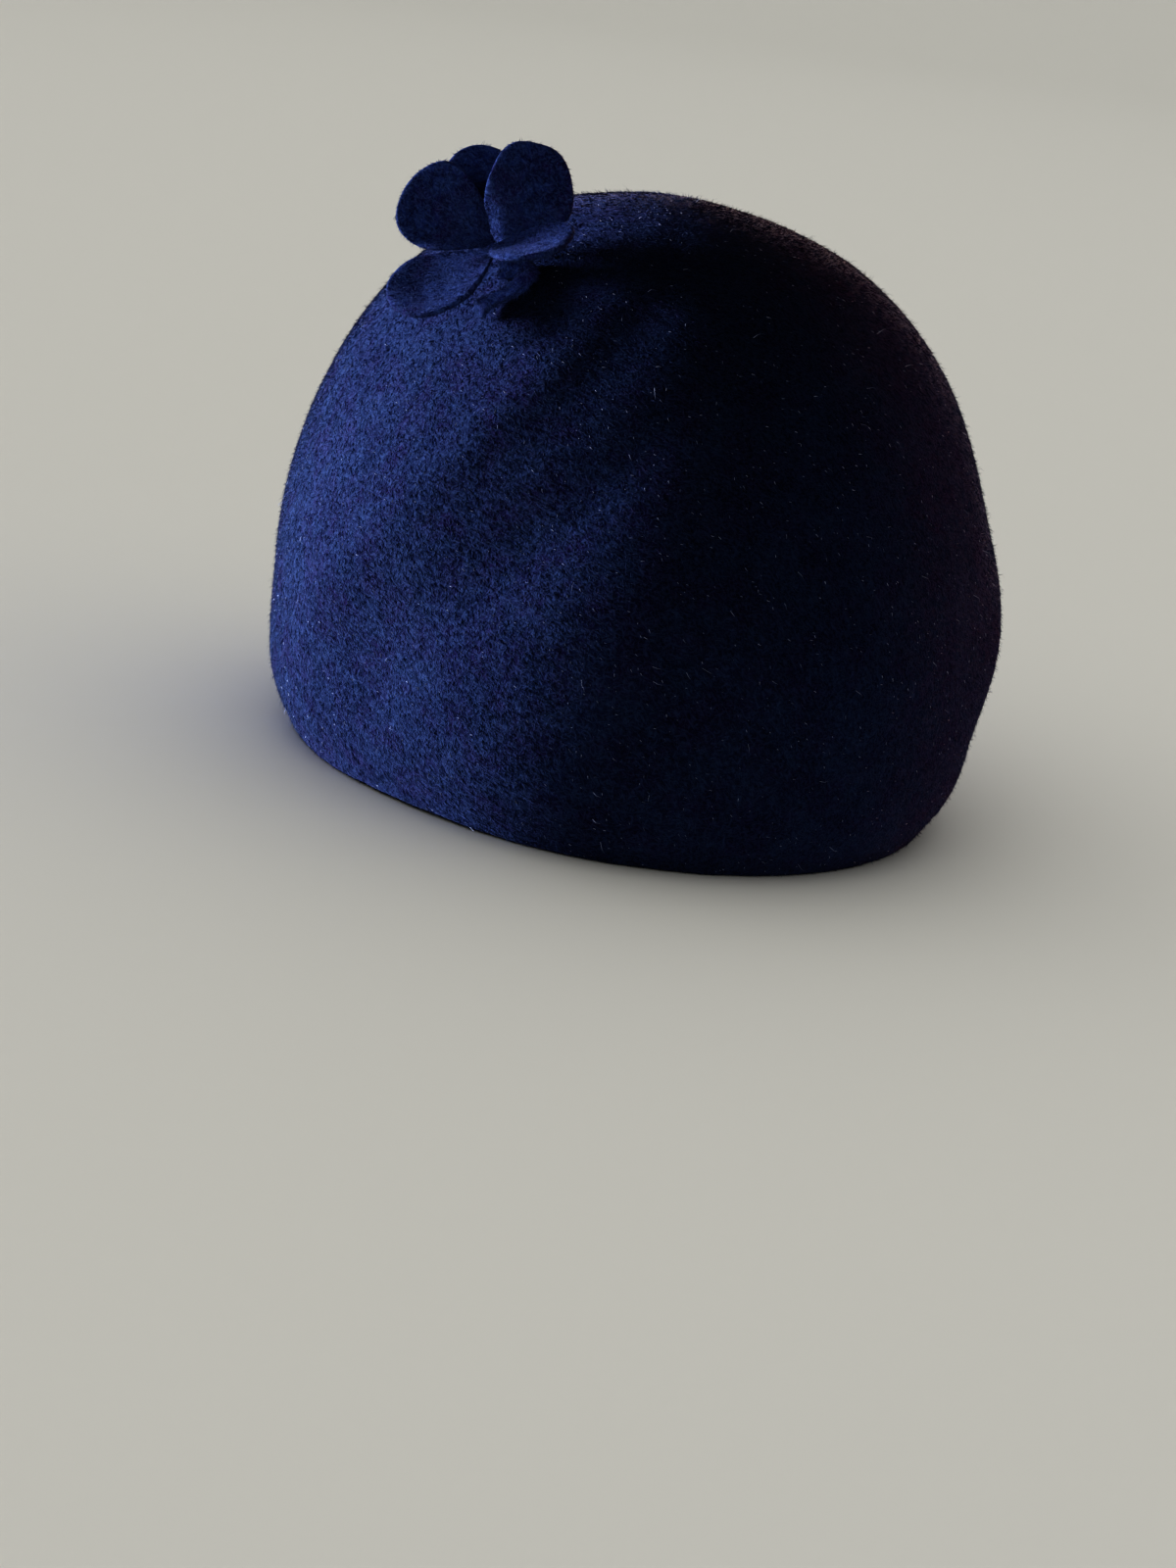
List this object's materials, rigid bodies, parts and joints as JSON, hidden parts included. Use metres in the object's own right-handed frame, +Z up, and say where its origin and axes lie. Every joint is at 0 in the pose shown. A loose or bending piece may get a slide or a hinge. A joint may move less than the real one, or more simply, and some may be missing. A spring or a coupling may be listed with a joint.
{
  "type": "cloche hat",
  "caption": "Brimless felt cloche hat with a deep close-fitting crown, a raw cut edge and a felt flower on a short rolled stalk at one side.",
  "frame": {"origin": "on the surface that the hat stands on, below the middle of its outline", "axes": "+Z up through the top of the crown, -Y towards the forehead, +X towards the wearer's left"},
  "size_m": [0.1929, 0.2296, 0.1715],
  "materials": {
    "crown_felt": "navy wool felt with a short soft nap, matt",
    "flower_felt": "navy wool felt cut from sheet, matt, a little firmer and darker"
  },
  "bodies": {
    "root": {"crown": "crown_felt", "petal_back": "flower_felt", "petal_upper_right": "flower_felt", "petal_lower_left": "flower_felt", "petal_upper_left": "flower_felt", "petal_lower_right": "flower_felt", "flower_stalk": "flower_felt"}
  },
  "joints": []
}
